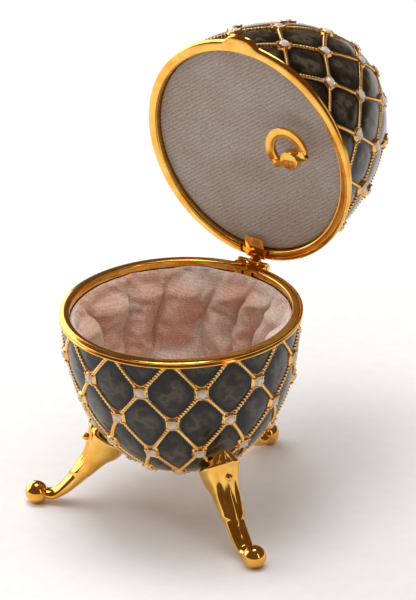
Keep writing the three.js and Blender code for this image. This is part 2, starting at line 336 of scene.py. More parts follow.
def cell_share(half, angle, depth):
    """0 along the ropes and 1 in the middle of a cell, with its level lines rounded at the corners."""
    across, row = angle / REACH, depth_row(half, depth)
    a, b = (across + row) / 2 % 1, (across - row) / 2 % 1
    return 16 * a * (1 - a) * b * (1 - b)


# ---- Finishes ----


def linear(colour):
    """sRGB hex to linear RGBA."""
    values = [int(colour[i : i + 2], 16) / 255 for i in (1, 3, 5)]
    return [v / 12.92 if v <= 0.04045 else ((v + 0.055) / 1.055) ** 2.4 for v in values] + [1]


def add_node(tree, kind, settings=None, links=None):
    """Adds one node, with its settings and what its inputs come from."""
    made = tree.nodes.new(kind)
    for key, value in (settings or {}).items():
        if isinstance(key, int) or key in made.inputs:
            made.inputs[key].default_value = value
        else:
            setattr(made, key, value)
    for key, source in (links or {}).items():
        tree.links.new(source, made.inputs[key])
    return made


def new_finish(name):
    finish = bpy.data.materials.new(name)
    finish.use_nodes = True
    finish.node_tree.nodes.clear()
    return finish, finish.node_tree


def finished(finish, shader):
    tree = finish.node_tree
    add_node(tree, "ShaderNodeOutputMaterial", links={"Surface": shader.outputs[0]})
    return finish


def toned(colour, red, green=None, blue=None):
    """A linear colour made darker or lighter, evenly or channel by channel."""
    factors = (red, red if green is None else green, red if blue is None else blue)
    return [min(1.0, channel * factor) for channel, factor in zip(colour, factors)] + [1]


def colour_ramp(tree, source, stops):
    """A ramp over a value; each stop is a place with an sRGB hex, a linear colour or a grey."""
    ramp = add_node(tree, "ShaderNodeValToRGB", links={0: source})
    elements = ramp.color_ramp.elements
    while len(elements) < len(stops):
        elements.new(0.5)
    for element, (place, colour) in zip(elements, stops):
        element.position = place
        if isinstance(colour, str):
            colour = linear(colour)
        element.color = [colour] * 3 + [1] if isinstance(colour, float) else colour
    return ramp.outputs[0]


def object_noise(tree, size, detail=3.0, roughness=0.5, stretch=None):
    """Noise whose grains are about size millimetres across."""
    place = add_node(tree, "ShaderNodeTexCoord").outputs["Object"]
    if stretch:
        place = add_node(tree, "ShaderNodeMapping", {"Scale": stretch}, {0: place}).outputs[0]
    settings = {"Scale": 1 / (size * MM), "Detail": detail, "Roughness": roughness}
    return add_node(tree, "ShaderNodeTexNoise", settings, {"Vector": place}).outputs["Fac"]


def gilt_finish(name, colour, roughness, unevenness=0.02):
    """Gilt zinc casting, buffed and flash plated, which leaves a soft waviness in reflections."""
    finish, tree = new_finish(name)
    cloud = object_noise(tree, 6, 2)
    deep = toned(colour, 0.92, 0.72, 0.48)
    tint = colour_ramp(tree, cloud, [(0.35, deep), (0.6, toned(colour, 1))])
    wave = object_noise(tree, 2.5, 2)
    bump = add_node(
        tree, "ShaderNodeBump", {"Strength": 0.5, "Distance": unevenness * MM}, {"Height": wave}
    )
    shader = add_node(
        tree,
        "ShaderNodeBsdfPrincipled",
        {"Metallic": 1.0, "Roughness": roughness},
        {"Base Color": tint, "Normal": bump.outputs[0]},
    )
    return finished(finish, shader)


def enamel_finish(colour):
    """Translucent vitreous enamel over metal: glassy, with light clouds that are a painted soft
    reflection, and painted shade that darkens each cell towards its ropes.
    Where a cell's corner is rounded off, the gilt casting shows."""
    finish, tree = new_finish("vitreous_enamel")
    share = add_node(tree, "ShaderNodeAttribute", {"attribute_name": "cell"}).outputs["Fac"]
    # Painted reflection: the light clouds stand for a soft lamp's reflection in the enamel, spread at
    # random over the dark enamel.
    cloud = object_noise(tree, 5, 4, 0.55)
    stops = [(0.34, toned(colour, 0.09)), (0.46, toned(colour, 0.28))]
    stops += [(0.57, toned(colour, 1)), (0.68, toned(colour, 0.24))]
    tint = colour_ramp(tree, cloud, stops)
    # Painted shade: the enamel is darkened towards the ropes round each cell and left as it is in the
    # middle of the cell.
    painted_rope_shade = colour_ramp(tree, share, [(0.14, "#2A2622"), (0.35, "#6A6560"), (0.8, "#FFFFFF")])
    shade = add_node(
        tree,
        "ShaderNodeMix",
        {"data_type": "RGBA", "blend_type": "MULTIPLY", 0: 1.0},
        {6: tint, 7: painted_rope_shade},
    ).outputs[2]
    glass = add_node(
        tree,
        "ShaderNodeBsdfPrincipled",
        {
            "Roughness": 0.3,
            "Specular IOR Level": 0.1,
            "Coat Weight": 0.6,
            "Coat Roughness": 0.03,
            "Coat IOR": 1.45,
        },
        {"Base Color": shade},
    )
    metal = add_node(
        tree,
        "ShaderNodeBsdfPrincipled",
        {"Base Color": linear("#D9973C"), "Metallic": 1.0, "Roughness": 0.22},
    )
    edge = colour_ramp(tree, share, [(0.115, 0.0), (0.135, 1.0)])
    mixed = add_node(
        tree, "ShaderNodeMixShader", links={0: edge, 1: metal.outputs[0], 2: glass.outputs[0]}
    )
    return finished(finish, mixed)


def crystal_finish():
    """Cut lead crystal, half clear and half scattering, which keeps small stones bright."""
    finish, tree = new_finish("lead_crystal")
    shader = add_node(
        tree,
        "ShaderNodeBsdfPrincipled",
        {"Base Color": linear("#FFFFFF"), "Transmission Weight": 0.5, "Roughness": 0.02, "IOR": 1.6},
    )
    return finished(finish, shader)


def foil_finish():
    """Silver foil that backs each stone and throws its light back."""
    finish, tree = new_finish("silver_foil")
    shader = add_node(
        tree,
        "ShaderNodeBsdfPrincipled",
        {"Base Color": linear("#FFFFFF"), "Metallic": 0.6, "Roughness": 0.4},
    )
    return finished(finish, shader)


def math_node(tree, operation, first, second):
    """One sum or product; each side is a number or an output."""
    sides = {0: first, 1: second}
    settings = {key: side for key, side in sides.items() if isinstance(side, (int, float))}
    links = {key: side for key, side in sides.items() if key not in settings}
    return add_node(tree, "ShaderNodeMath", {"operation": operation, **settings}, links).outputs[0]


def ribs(tree, across, pitch, waviness):
    """Rows of a fabric, pitch millimetres apart across a direction, 0 between them and 1 on top."""
    place = add_node(tree, "ShaderNodeTexCoord").outputs["Object"]
    along = add_node(
        tree,
        "ShaderNodeVectorMath",
        {"operation": "DOT_PRODUCT", 1: Vector(across).normalized() * (TURN / (pitch * MM))},
        {0: place},
    ).outputs["Value"]
    drift = math_node(tree, "MULTIPLY", object_noise(tree, 1.8, 2, 0.6), waviness)
    wave = math_node(tree, "SINE", math_node(tree, "ADD", along, drift), 0)
    return math_node(tree, "MULTIPLY", math_node(tree, "ADD", wave, 1), 0.5)


def velvet_finish(name, colour, across, pitch, rib_share, warm_light_tint):
    """Short cotton velvet on a ribbed ground: matt, with a soft light edge where the pile leans.
    The pile is drawn coarser than real pile, or it would be too fine to show."""
    finish, tree = new_finish(name)
    row = math_node(tree, "MULTIPLY", ribs(tree, across, pitch, 5), rib_share)
    pile = math_node(tree, "MULTIPLY", object_noise(tree, 0.45, 3, 0.65), 1 - rib_share)
    nap = math_node(tree, "ADD", row, pile)
    stops = [(0.25, toned(colour, 0.56)), (0.5, toned(colour, 1)), (0.72, toned(colour, 1.35))]
    tint = colour_ramp(tree, nap, stops)
    # Painted warm light: patches of a warm tint, spread at random, stand for the warmer light falling
    # on parts of the velvet.
    painted_warm_light = colour_ramp(tree, object_noise(tree, 16, 1), [(0.4, "#FFFFFF"), (0.62, warm_light_tint)])
    tint = add_node(
        tree,
        "ShaderNodeMix",
        {"data_type": "RGBA", "blend_type": "MULTIPLY", 0: 1.0},
        {6: tint, 7: painted_warm_light},
    ).outputs[2]
    bump = add_node(
        tree, "ShaderNodeBump", {"Strength": 0.9, "Distance": 0.16 * MM}, {"Height": nap}
    )
    shader = add_node(
        tree,
        "ShaderNodeBsdfPrincipled",
        {"Roughness": 0.95, "Sheen Weight": 0.5, "Sheen Roughness": 0.4, "Specular IOR Level": 0.2},
        {"Base Color": tint, "Normal": bump.outputs[0]},
    )
    return finished(finish, shader)


def floor_finish():
    """Plain white sweep of matt card."""
    finish, tree = new_finish("white_card")
    grain = object_noise(tree, 4, 2)
    tint = colour_ramp(tree, grain, [(0.3, "#F6F6F7"), (0.7, "#F9F9FA")])
    shader = add_node(
        tree, "ShaderNodeBsdfPrincipled", {"Roughness": 0.9}, {"Base Color": tint}
    )
    return finished(finish, shader)


FINISHES = {}


def make_finishes(choice):
    FINISHES["gilt"] = gilt_finish("polished_gilt", choice.gilt_colour, 0.12)
    FINISHES["lattice"] = gilt_finish("cast_gilt_lattice", choice.lattice_colour, 0.2, 0.03)
    FINISHES["enamel"] = enamel_finish(choice.enamel_colour)
    FINISHES["crystal"] = crystal_finish()
    FINISHES["foil"] = foil_finish()
    # The last colour given to each velvet is the tint of its painted warm light.
    FINISHES["lining"] = velvet_finish(
        "lining_velvet", choice.lining_colour, (0.1, 0.1, 1), 0.8, 0.08, "#F8DACA"
    )
    FINISHES["panel"] = velvet_finish(
        "panel_velvet", choice.panel_colour, (-0.57, 0, 0.82), 1.05, 0.16, "#F6EEE8"
    )


# ---- Sizes and colours that a user may change ----


def length_choice(name, description, millimetres):
    return bpy.props.FloatProperty(
        name=name, description=description, default=millimetres * MM, min=0, unit="LENGTH"
    )


def colour_choice(name, description, hex_colour):
    return bpy.props.FloatVectorProperty(
        name=name, description=description, default=linear(hex_colour)[:3], size=3, subtype="COLOR"
    )


class EggBoxSizes(bpy.types.PropertyGroup):
    rope_width: length_choice("Rope width", "Width of the lattice ropes", 1.35)
    rope_pitch: length_choice("Rope pitch", "Length of one turn of a strand", 1.0)
    stone_width: length_choice("Stone width", "Width of a crystal at its girdle", 3.1)
    pillow: length_choice("Pillow", "Swell of the enamel in a cell", 0.45)
    fold_depth: length_choice("Fold depth", "Depth of the lining's folds", 5.5)
    gilt_colour: colour_choice("Gilt", "Colour of the polished gilt", "#F9C765")
    lattice_colour: colour_choice("Lattice gilt", "Colour of the cast lattice and settings", "#F8D08A")
    # The enamel colour is the lightest cloud of the painted reflection; the dark enamel is toned down
    # from it.
    enamel_colour: colour_choice("Enamel", "Lightest cloud in the enamel", "#544C3E")
    lining_colour: colour_choice("Lining", "Colour of the bowl's velvet", "#DACABF")
    panel_colour: colour_choice("Panel", "Colour of the lid's velvet", "#C0B8B0")


# ---- Enamelled halves ----


def enamel_half(name, half, matrix, pillow):
    """A shell spun from the egg's outline, swollen within each cell."""
    last = len(half["rows"]) - 1
    first = depth_row(half, COLLAR + 0.1)
    rows = [first + (last - first) * i / 76 for i in range(77)]
    depths = [row_depth(half, row) for row in rows]
    rest = half["depth"] - half["rows"][last]
    depths += [half["rows"][last] + rest * share for share in (0.4, 0.7, 0.9, 0.98)]
    outline = [(egg_radius(half, depth), -depth) for depth in depths] + [(0, -half["depth"])]
    obj = turned(name, outline, 240)
    shares, weights = [], []
    for vertex in obj.data.vertices:
        x, y, z = vertex.co / MM
        share = cell_share(half, math.atan2(y, x), -z)
        web = 0.6 * (1 - smoothstep(0.08, 0.15, share))
        shares.append(share)
        weights.append(web + smoothstep(0.11, 0.9, share) ** 0.7)
    cell = obj.data.attributes.new("cell", "FLOAT", "POINT")
    cell.data.foreach_set("value", shares)
    group = obj.vertex_groups.new(name="swell")
    for i, weight in enumerate(weights):
        group.add([i], weight, "REPLACE")
    first = obj.data.vertices[0]
    if first.normal.dot(Vector((first.co.x, first.co.y, 0))) < 0:
        obj.data.flip_normals()
    modified(obj, "DISPLACE", strength=pillow, mid_level=0, vertex_group="swell")
    modified(obj, "SOLIDIFY", thickness=WALL * MM, offset=-1)
    obj.vertex_groups.clear()
    smooth(obj, 60)
    return moved(obj, matrix)


class EggBoxEnamel(bpy.types.Operator):
    """Builds the two enamelled halves of the egg"""

    bl_idname = "egg_box.enamel"
    bl_label = "Enamel"

    def execute(self, context):
        pillow = context.scene.egg_box.pillow
        bowl = enamel_half("bowl_enamel", BOWL_HALF, BOWL, pillow)
        shared(bowl, "base", "enamel", FINISHES["enamel"], "bowl")
        dome = enamel_half("lid_enamel", LID_HALF, DOME, pillow)
        shared(dome, "lid", "enamel", FINISHES["enamel"], "lid_dome")
        return {"FINISHED"}


# ---- Rope lattice ----


def straight_rope(width, pitch, length):
    """Two strands laid together: a pinched ring swept along X with a half turn for each pitch."""
    only()
    bpy.ops.mesh.primitive_circle_add(vertices=8, radius=width / 2)
    start_edit()
    bpy.ops.transform.resize(value=(1, 0.52, 1))
    bpy.ops.object.mode_set(mode="OBJECT")
    obj = named("rope")
    modified(
        obj,
        "SCREW",
        angle=math.pi,
        screw_offset=pitch,
        steps=5,
        render_steps=5,
        iterations=int(length / pitch),
        use_smooth_shade=True,
    )
    start_edit()
    bpy.ops.mesh.fill_holes(sides=0)
    clean_mesh()
    return moved(obj, Matrix.Rotation(math.pi / 2, 4, "Y"))


def rope_path(half, side, lift):
    """A rope's line from the collar to the cap, one column over for every two rows."""
    first = depth_row(half, COLLAR * 0.8)
    rows = [first + (4.97 - first) * i / 90 for i in range(91)]
    return [egg_point(half, side * REACH * row, row_depth(half, row), lift) for row in rows]


def path_length(points):
    return sum((b - a).length for a, b in zip(points, points[1:]))


def laid_rope(half, side, width, pitch):
    points = rope_path(half, side, 0.12)
    curve = bpy.data.curves.new("rope_path", "CURVE")
    curve.dimensions = "3D"
    spline = curve.splines.new("POLY")
    spline.points.add(len(points) - 1)
    for place, point in zip(spline.points, points):
        place.co = [*(point * MM), 1]
    path = bpy.data.objects.new("rope_path", curve)
    bpy.context.scene.collection.objects.link(path)
    rope = straight_rope(width, pitch, path_length(points) * MM)
    modified(rope, "CURVE", object=path, deform_axis="POS_X")
    removed(path)
    return rope


def cap(name, half):
    """The small stepped cap at the egg's end."""
    depth = half["depth"]
    outline = [
        (0, -depth - 1.0),
        (3.2, -depth - 0.95),
        (5.2, -depth - 0.6),
        (6.0, -depth - 0.1),
        (7.2, -depth + 0.3),
        (8.2, -depth + 0.2),
        (8.8, -depth + 0.8),
        (8.7, -depth + 1.5),
        (7.6, -depth + 1.9),
        (4.0, -depth + 1.4),
        (0, -depth + 1.2),
    ]
    return smooth(turned(name, outline, 72), 50)


def lattice_half(name, half, matrix, sizes):
    ropes = []
    for side in (1, -1):
        rope = laid_rope(half, side, sizes.rope_width, sizes.rope_pitch)
        ropes += [copied(rope, Matrix.Rotation(TURN * k / COLUMNS, 4, "Z")) for k in range(1, COLUMNS)]
        ropes.append(rope)
    lattice = joined(name, [*ropes, cap("cap", half)])
    only(lattice)
    return moved(lattice, matrix)


class EggBoxLattice(bpy.types.Operator):
    """Lays the twisted ropes over both halves and caps their ends"""

    bl_idname = "egg_box.lattice"
    bl_label = "Rope lattice"

    def execute(self, context):
        sizes = context.scene.egg_box
        bowl = lattice_half("bowl_lattice", BOWL_HALF, BOWL, sizes)
        shared(bowl, "base", "gilt", FINISHES["lattice"])
        dome = lattice_half("lid_lattice", LID_HALF, DOME, sizes)
        shared(dome, "lid", "gilt", FINISHES["lattice"])
        return {"FINISHED"}


# ---- Stones and their settings ----


def setting():
    """A square cup with a round seat and a claw at each corner."""
    outline = [
        (0, 0.1),
        (1.3, 0.1),
        (1.45, 0.55),
        (1.58, 0.9),
        (1.75, 0.95),
        (1.92, 0.8),
        (2.1, 0.3),
        (2.4, 0.0),
        (2.6, -0.4),
    ]
    cup = turned("cup", outline, 24)
    for vertex in cup.data.vertices:
        radius = math.hypot(vertex.co.x, vertex.co.y) / MM
        angle = math.atan2(vertex.co.y, vertex.co.x)
        pull = 0.13 * smoothstep(1.6, 2.3, radius)
        vertex.co.xy *= 1 - pull * math.cos(4 * angle)
    smooth(cup, 60)
    claws = []
    for k in range(4):
        angle = math.pi / 4 + k * math.pi / 2
        place = (CLAW_REACH * math.cos(angle), CLAW_REACH * math.sin(angle), 0.78)
        claws.append(smooth(globe("claw", 0.45, place, 10, 6), 60))
    return joined("setting", [cup, *claws])


def stone(width):
    """A round brilliant: table, crown, girdle and a foiled point below."""
    only()
    girdle, height = width / 2, width * 0.24
    bpy.ops.mesh.primitive_cone_add(
        vertices=8,
        radius1=girdle,
        radius2=girdle * 0.56,
        depth=height,
        location=(0, 0, 0.75 * MM + height / 2),
    )
    bpy.ops.object.transform_apply(location=True, rotation=True, scale=True)
    obj = named("stone")
    for vertex in obj.data.vertices:
        if vertex.co.z > 0.8 * MM:
            vertex.co = Matrix.Rotation(math.pi / 8, 3, "Z") @ vertex.co
    start_edit("DESELECT")
    bpy.ops.object.mode_set(mode="OBJECT")
    for face in obj.data.polygons:
        face.select = face.normal.z < -0.9
    bpy.ops.object.mode_set(mode="EDIT")
    bpy.ops.mesh.select_mode(type="FACE")
    bpy.ops.mesh.extrude_region_move(TRANSFORM_OT_translate={"value": (0, 0, -0.62 * MM)})
    bpy.ops.transform.resize(value=(0.08, 0.08, 1))
    bpy.ops.mesh.select_all(action="SELECT")
    bpy.ops.mesh.quads_convert_to_tris()
    bpy.ops.object.mode_set(mode="OBJECT")
    obj.data.materials.append(FINISHES["crystal"])
    obj.data.materials.append(FINISHES["foil"])
    for face in obj.data.polygons:
        face.use_smooth = False
        face.material_index = int(face.center.z < 0.74 * MM)
    return obj


def crossing(half, column, row):
    """Where a setting sits: X along the row, Y toward the mouth and Z off the skin."""
    angle = REACH * (2 * column + row % 2)
    depth = half["rows"][row]
    up = egg_normal(half, angle, depth)
    along = Vector((-math.sin(angle), math.cos(angle), 0))
    turn = Matrix((along, up.cross(along), up)).transposed().to_4x4()
    return Matrix.Translation(egg_point(half, angle, depth) * MM) @ turn


class EggBoxStones(bpy.types.Operator):
    """Sets a foil-backed crystal on every crossing of the ropes"""

    bl_idname = "egg_box.stones"
    bl_label = "Stones"

    def execute(self, context):
        one_setting = setting()
        one_stone = stone(context.scene.egg_box.stone_width)
        for part, half, matrix, body in (
            ("bowl", BOWL_HALF, BOWL, "base"),
            ("lid", LID_HALF, DOME, "lid"),
        ):
            places = [crossing(half, column, row) for row in (1, 2, 3, 4) for column in range(COLUMNS)]
            settings = [copied(one_setting, matrix @ place) for place in places]
            shared(joined(part + "_settings", settings), body, "gilt", FINISHES["lattice"])
            stones = joined(part + "_crystals", [copied(one_stone, matrix @ place) for place in places])
            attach(stones, body)
        removed(one_setting, one_stone)
        return {"FINISHED"}


# ---- Collars ----

COLLAR_OUTLINE = [
    (32.0, -0.5),
    (32.0, -2.2),
    (34.35, -2.2),
    (34.75, -2.08),
    (34.98, -1.8),
    (34.98, -1.5),
    (34.8, -1.22),
    (34.4, -1.1),
    (34.25, -1.0),
    (34.3, -0.88),
    (34.7, -0.82),
    (34.95, -0.7),
    (35.0, -0.52),
    (34.9, -0.38),
    (34.6, -0.25),
    (34.2, -0.12),
    (33.7, -0.03),
    (33.1, 0.0),
    (32.6, -0.05),
    (32.2, -0.2),
    (32.05, -0.33),
]


def collar(name, matrix, thumb=0.0):
    """A turned ring with a flat face, a groove and a bead; a thumb-piece swells out of one side."""
    ring = turned(name, COLLAR_OUTLINE, 160, closed=True)
    if thumb:
        for vertex in ring.data.vertices:
            x, y, _ = vertex.co / MM
            radius, angle = math.hypot(x, y), math.atan2(y, x)
            aside = abs(angle - math.pi / 2) * RIM
            rise = 1 - smoothstep(THUMB_WIDTH * 0.16, THUMB_WIDTH / 2, aside)
            follow = smoothstep(MOUTH + 0.2, RIM - 1, radius)
            vertex.co.xy *= 1 + thumb * rise * follow / radius
    near, far = (-39, -30) if thumb else (30, 39)
    notch = block("notch", (-5.15, near, -0.7), (5.15, far, 1))
    cut(ring, notch)
    smooth(ring, 35)
    return moved(ring, matrix)


class EggBoxCollars(bpy.types.Operator):
    """Turns the two gilt collars"""

    bl_idname = "egg_box.collars"
    bl_label = "Collars"

    def execute(self, context):
        bowl = collar("bowl_rim", BOWL)
        shared(bowl, "base", "gilt", FINISHES["gilt"], "bowl_collar")
        lid = collar("lid_rim", DOME, THUMB_REACH)
        shared(lid, "lid", "gilt", FINISHES["gilt"], "lid_collar")
        return {"FINISHED"}


# ---- Hinge ----


class EggBoxHinge(bpy.types.Operator):
    """Builds both hinge leaves with their knuckles, and the pin"""

    bl_idname = "egg_box.hinge"
    bl_label = "Hinge"

    def execute(self, context):
        y = HINGE_OFFSET
        parts = [block("leaf", (-5, 31.05, -0.6), (5, 34.7, -0.1))]
        for middle in (-1.65, 1.65):
            parts.append(block("tongue", (middle - 1.25, 31.05, -2.7), (middle + 1.25, 31.6, -0.2)))
        for low, high in ((-5, -1.95), (1.95, 5)):
            parts.append(block("strap", (low, 34.6, -0.6), (high, 36, -0.1)))
            parts.append(rod("knuckle", 1.4, high - low, ((low + high) / 2, y, -HINGE_DROP)))
        bowl = joined("hinge_bowl_plate", [softened(part, 0.1) for part in parts])
        shared(moved(bowl, BOWL), "base", "gilt", FINISHES["gilt"], "hinge_bowl_leaf")
        parts = [
            block("leaf", (-3.2, y - 8.2, 0.1), (3.2, 35, 0.6)),
            block("strap", (-1.7, 34, 0.1), (1.7, y, 0.6)),
            block("rear", (-1.7, y - 1.3, -LID_HINGE_DROP), (1.7, y, 0.6)),
            rod("knuckle", 1.4, 3.4, (0, y, -LID_HINGE_DROP)),
        ]
        lid = joined("hinge_lid_plate", [softened(part, 0.1) for part in parts])
        shared(moved(lid, LID), "lid", "gilt", FINISHES["gilt"], "hinge_lid_leaf")
        pin = softened(rod("hinge_rivet", 0.62, 10.4, (0, y, -HINGE_DROP), vertices=24), 0.15)
        shared(moved(pin, BOWL), "base", "gilt", FINISHES["gilt"], "hinge_pin")
        return {"FINISHED"}


# ---- Winding key ----


def ring_handle():
    """A flat folding ring, cut off straight at its pivots and bare on both sides."""
    under = [(4.2, -0.5), (4.3, -0.6), (7.0, -0.6), (7.1, -0.5)]
    outline = under + [(radius, -height) for radius, height in reversed(under)]
    band = turned("band", outline, 72, closed=True)
    moved(band, Matrix.Translation((0, -2.9 * MM, 0)))
    ears = block("ears", (-5.9, -1.2, -0.9), (5.9, 1.2, 0.9))
    cut(band, ears, "UNION")
    cut(band, block("tail", (-20, 1.2, -20), (20, 20, 20)))
    cut(band, block("grip", (-3.2, -1.2, -20), (3.2, 20, 20)))
    cut(band, rod("bore", 0.75, 20, (0, 0, 0)))
    softened(band, 0.1)
    return band


class EggBoxKey(bpy.types.Operator):
    """Builds the winding key: a round head on a stem, and its folding ring"""

    bl_idname = "egg_box.key"
    bl_label = "Winding key"

    def execute(self, context):
        outline = [
            (0, -5.0),
            (2.35, -5.0),
            (2.7, -4.9),
            (2.9, -4.6),
            (2.9, -2.2),
            (2.7, -2.0),
            (1.5, -2.0),
            (1.5, 6.2),
            (0, 6.2),
        ]
        head = turned("key_head", outline, 48)
        rivet = rod("rivet", 0.55, 9.0, (0, 0, -3.5), vertices=20)
        head = joined("key_head", [smooth(head), softened(rivet, 0.12)])
        shared(moved(head, KEY), "key", "gilt", FINISHES["gilt"], "key_hub")
        ring = moved(ring_handle(), Matrix.Translation((0, 0, -3.5 * MM)))
        ring = joined("key_ring", [ring])
        shared(moved(ring, KEY), "handle", "gilt", FINISHES["gilt"], "key_handle")
        return {"FINISHED"}


# ---- Legs ----

LEG_ANGLES = {"leg_back": 91.5, "leg_front_left": 211.5, "leg_front_right": 331.5}
# Outer edge, inner edge and width of a leg, from the ball up to the tip that lies on the bowl
LEG_STATIONS = [
    [42.2, 1.3, 42, -1.5, 4.2],
    [38.7, 1.3, 38.9, -2, 5],
    [35.9, 4.1, 34.8, -0.1, 5.7],
    [33.4, 7, 32.2, 1.9, 6],
    [31.2, 9.8, 29.4, 4.3, 6.2],
    [29.2, 13, 26.2, 7.1, 6.6],
    [28, 16.4, 22.6, 10, 7.4],
    [27.4, 19.4, 19, 12, 9.2],
    [26.8, 21.8, 17.4, 15.4, 10],
    [25.9, 24, 18.4, 19.4, 6.6],
    [25, 26, 21.6, 24, 2],
]


def spline_value(values, at):
    """Smooth curve through evenly spaced values."""
    i = min(int(at), len(values) - 2)
    t = at - i
    before, low = values[max(i - 1, 0)], values[i]
    high, after = values[i + 1], values[min(i + 2, len(values) - 1)]
    cubic = 3 * (low - high) + after - before
    square = 2 * before - 5 * low + 4 * high - after + t * cubic
    return low + t / 2 * (high - before + t * square)


def leg_relief(at, turn):
    """How far the leaf round a leg stands off it: a pointed end, a middle rib and two side ribs."""
    aside = min(turn, TURN - turn)
    edge = 2.7 + 0.75 * aside
    leaf = smoothstep(edge - 0.07, edge + 0.07, at) * (1 - smoothstep(2.3, 2.6, aside))
    rise = smoothstep(edge, edge + 1.6, at)
    middle = 0.5 * math.exp(-((aside / 0.2) ** 2))
    sides = 0.4 * math.exp(-(((aside - 1.0) / 0.25) ** 2))
    groove = 0.3 * math.exp(-(((aside - 0.52) / 0.14) ** 2))
    lip = 0.45 * math.exp(-(((at - 8.1) / 0.35) ** 2))
    return leaf * (0.42 + rise * (middle + sides - groove) + lip)


def leg_mesh():
    rings = []
    steps, around = 80, 72
    for i in range(steps + 1):
        at = i / steps * (len(LEG_STATIONS) - 1)
        out_x, out_z, in_x, in_z, width = [
            spline_value([station[k] for station in LEG_STATIONS], at) for k in range(5)
        ]
        outer, inner = Vector((out_x, 0, out_z)), Vector((in_x, 0, in_z))
        middle, depth = (outer + inner) / 2, outer - inner
        ring = []
        for j in range(around):
            turn = TURN * j / around
            facing = depth.normalized() * math.cos(turn) + Vector((0, -math.sin(turn), 0))
            skin = middle + depth * 0.5 * math.cos(turn) + Vector((0, -0.5 * width * math.sin(turn), 0))
            ring.append(skin + leg_relief(at, turn) * facing)
        rings.append(ring)
    leg = lofted("leg", rings)
    depths = [BOWL_REACH * math.cos(math.pi / 2 * i / 24) for i in range(1, 25)]
    outside = [(egg_radius(BOWL_HALF, depth) + 0.3, -depth) for depth in depths]
    skin = turned("skin", [(0, -50), *outside, (0, 0)], 96)
    moved(skin, Matrix.Translation((0, 0, BOWL.translation.z - (FOOT_RADIUS - FOOT_FLAT) * MM)))
    cut(leg, skin)
    smooth(leg, 50)
    boss = smooth(globe("boss", 1.1, (28.7, 0, 18.4), 20, 12), 60)
    ball = globe("ball", FOOT_RADIUS, (FOOT_REACH, 0, 0), 40, 24)
    floor = -(FOOT_RADIUS - FOOT_FLAT) * MM
    for vertex in ball.data.vertices:
        vertex.co.z = max(vertex.co.z, floor)
    smooth(ball, 60)
    return joined("leg", [leg, boss, ball])


class EggBoxLegs(bpy.types.Operator):
    """Casts the three fluted legs on ball feet"""

    bl_idname = "egg_box.legs"
    bl_label = "Legs"

    def execute(self, context):
        one_leg = moved(leg_mesh(), Matrix.Translation((0, 0, (FOOT_RADIUS - FOOT_FLAT) * MM)))
        for node, angle in LEG_ANGLES.items():
            leg = copied(one_leg, GROUND @ Matrix.Rotation(math.radians(angle), 4, "Z"))
            leg.name = node.replace("leg", "foot")
            shared(leg, "base", "gilt", FINISHES["gilt"], node)
        removed(one_leg)
        return {"FINISHED"}


# ---- Velvet ----


# Sewn folds round the cup, in degrees
FOLDS = (16, 44, 66, 84, 106, 139, 165, 196, 224, 256, 288, 318, 346)
HEM_DEPTH = 2.4
CUP_FLOOR = 41.0
SIMULATED = 15  # times larger than life, because the cloth solver is made for metres
SIMULATED_FRAMES = 20


def puff(turn):
    """0 in a fold and 1 on the crown of the puff beside it."""
    degrees = math.degrees(turn) % 360
    before = max([fold for fold in FOLDS if fold <= degrees], default=FOLDS[-1] - 360)
    after = min([fold for fold in FOLDS if fold > degrees], default=FOLDS[0] + 360)
    return math.sin(math.pi * (degrees - before) / (after - before))


def cup_outline():
    """The cup from behind its rolled hem down the wall and over the floor."""
    hem = [(31.8, -4.4), (31.95, -3.4), (31.97, -2.7), (31.6, -2.28), (30.9, -2.2), (30.0, -3.0)]
    depths = [4.2 + i for i in range(36)]
    wall = [(min(29.6, egg_radius(BOWL_HALF, depth, 4.2)), -depth) for depth in depths]
    radius, height = wall[-1]
    shares = (0.8, 0.6, 0.4, 0.2, 0)
    floor = [(radius * share, height - (1 - share) * (height + CUP_FLOOR)) for share in shares]
    return hem + wall + floor


def gathered_cup(fold_depth):
    """A cup of velvet with its folds sewn down, ready to be puffed by the cloth solver."""
    obj = turned("velvet_lining", cup_outline(), 200)
    pins = obj.vertex_groups.new(name="sewn")
    for vertex in obj.data.vertices:
        x, y, z = vertex.co / MM
        radius, turn, depth = math.hypot(x, y), math.atan2(y, x), -z
        crown = puff(turn + 0.12 * math.sin(depth / 7 + 2 * math.sin(turn)))
        behind = depth < 4.5 and radius > 30.9
        down = min(1.0, (depth - HEM_DEPTH) / (CUP_FLOOR - HEM_DEPTH))
        wander = noise.noise(Vector((3 * math.cos(turn), 3 * math.sin(turn), depth / 9)))
        below_key = smoothstep(4.5, 9, depth)
        bulge = fold_depth * (crown**0.4 - 0.3 + 0.2 * wander) * below_key * (1 - down) ** 0.25
        if radius > 0.1:
            vertex.co.xy *= max(0.05, (radius - bulge) / radius)
        if depth < 5.2 and not behind:
            vertex.co.z += MM * (0.35 * wander - 0.5 * (1 - crown) ** 3)
        if behind or radius < 4 or (crown < 0.1 and 3 < depth < 37):
            pins.add([vertex.index], 1.0, "REPLACE")
        elif depth < 5:
            pins.add([vertex.index], 0.3, "REPLACE")
    side = min(obj.data.polygons, key=lambda face: abs(face.center.z + 20 * MM))
    if side.normal.dot(Vector((side.center.x, side.center.y, 0))) > 0:
        obj.data.flip_normals()
    return obj


